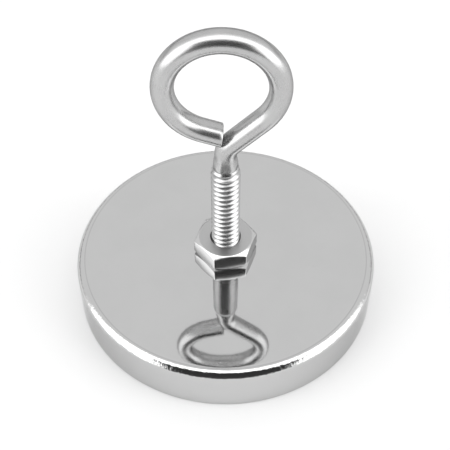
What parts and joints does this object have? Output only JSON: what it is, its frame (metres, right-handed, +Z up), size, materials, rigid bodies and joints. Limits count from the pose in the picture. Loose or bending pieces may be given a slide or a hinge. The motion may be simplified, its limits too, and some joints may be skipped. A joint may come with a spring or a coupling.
{
  "type": "magnet fishing magnet",
  "caption": "Round-base pot magnet: a ferrite ring in a shallow plated steel cup with a threaded wire eye bolt, nuts and a split washer.",
  "frame": {"origin": "centre of the cup's rim, in the plane of the working face that lies on the steel to be lifted", "axes": "+Z up along the bolt's axis towards the eye; the eye lies in the XZ plane, so a rope passes through it along Y"},
  "size_m": [0.0516, 0.0516, 0.0557],
  "materials": {
    "cup_plate": "polished",
    "bolt_plate": "polished",
    "nut_plate": "polished",
    "ferrite": "matte",
    "adhesive": "satin",
    "potting_resin": "satin"
  },
  "bodies": {
    "pot": {"pot_shell": "cup_plate", "ring_magnet": "ferrite", "bond_layer": "adhesive", "potting_ring": "potting_resin"},
    "upper_nut": {"top_nut": "nut_plate"},
    "washer": {"lock_washer": "nut_plate"},
    "bolt": {"eye_bolt": "bolt_plate", "lower_nut": "nut_plate"}
  },
  "joints": [
    {"name": "eye_swivel", "type": "hinge", "parent": "pot", "child": "upper_nut", "pos_m": [0, 0, 0.0091], "axis": [0, 0, 1], "continuous": true},
    {"name": "bolt_travel", "type": "slide", "parent": "upper_nut", "child": "washer", "axis": [0, 0, 1], "range_m": [-0.01482, 0]},
    {"name": "bolt_turn", "type": "hinge", "parent": "washer", "child": "bolt", "pos_m": [0, 0, 0.0091], "axis": [0, 0, 1], "range_deg": [-5040, 0]}
  ],
  "couplings": [
    {"joint": "bolt_turn", "follows": "bolt_travel", "rad_per_m": 5936.9}
  ]
}
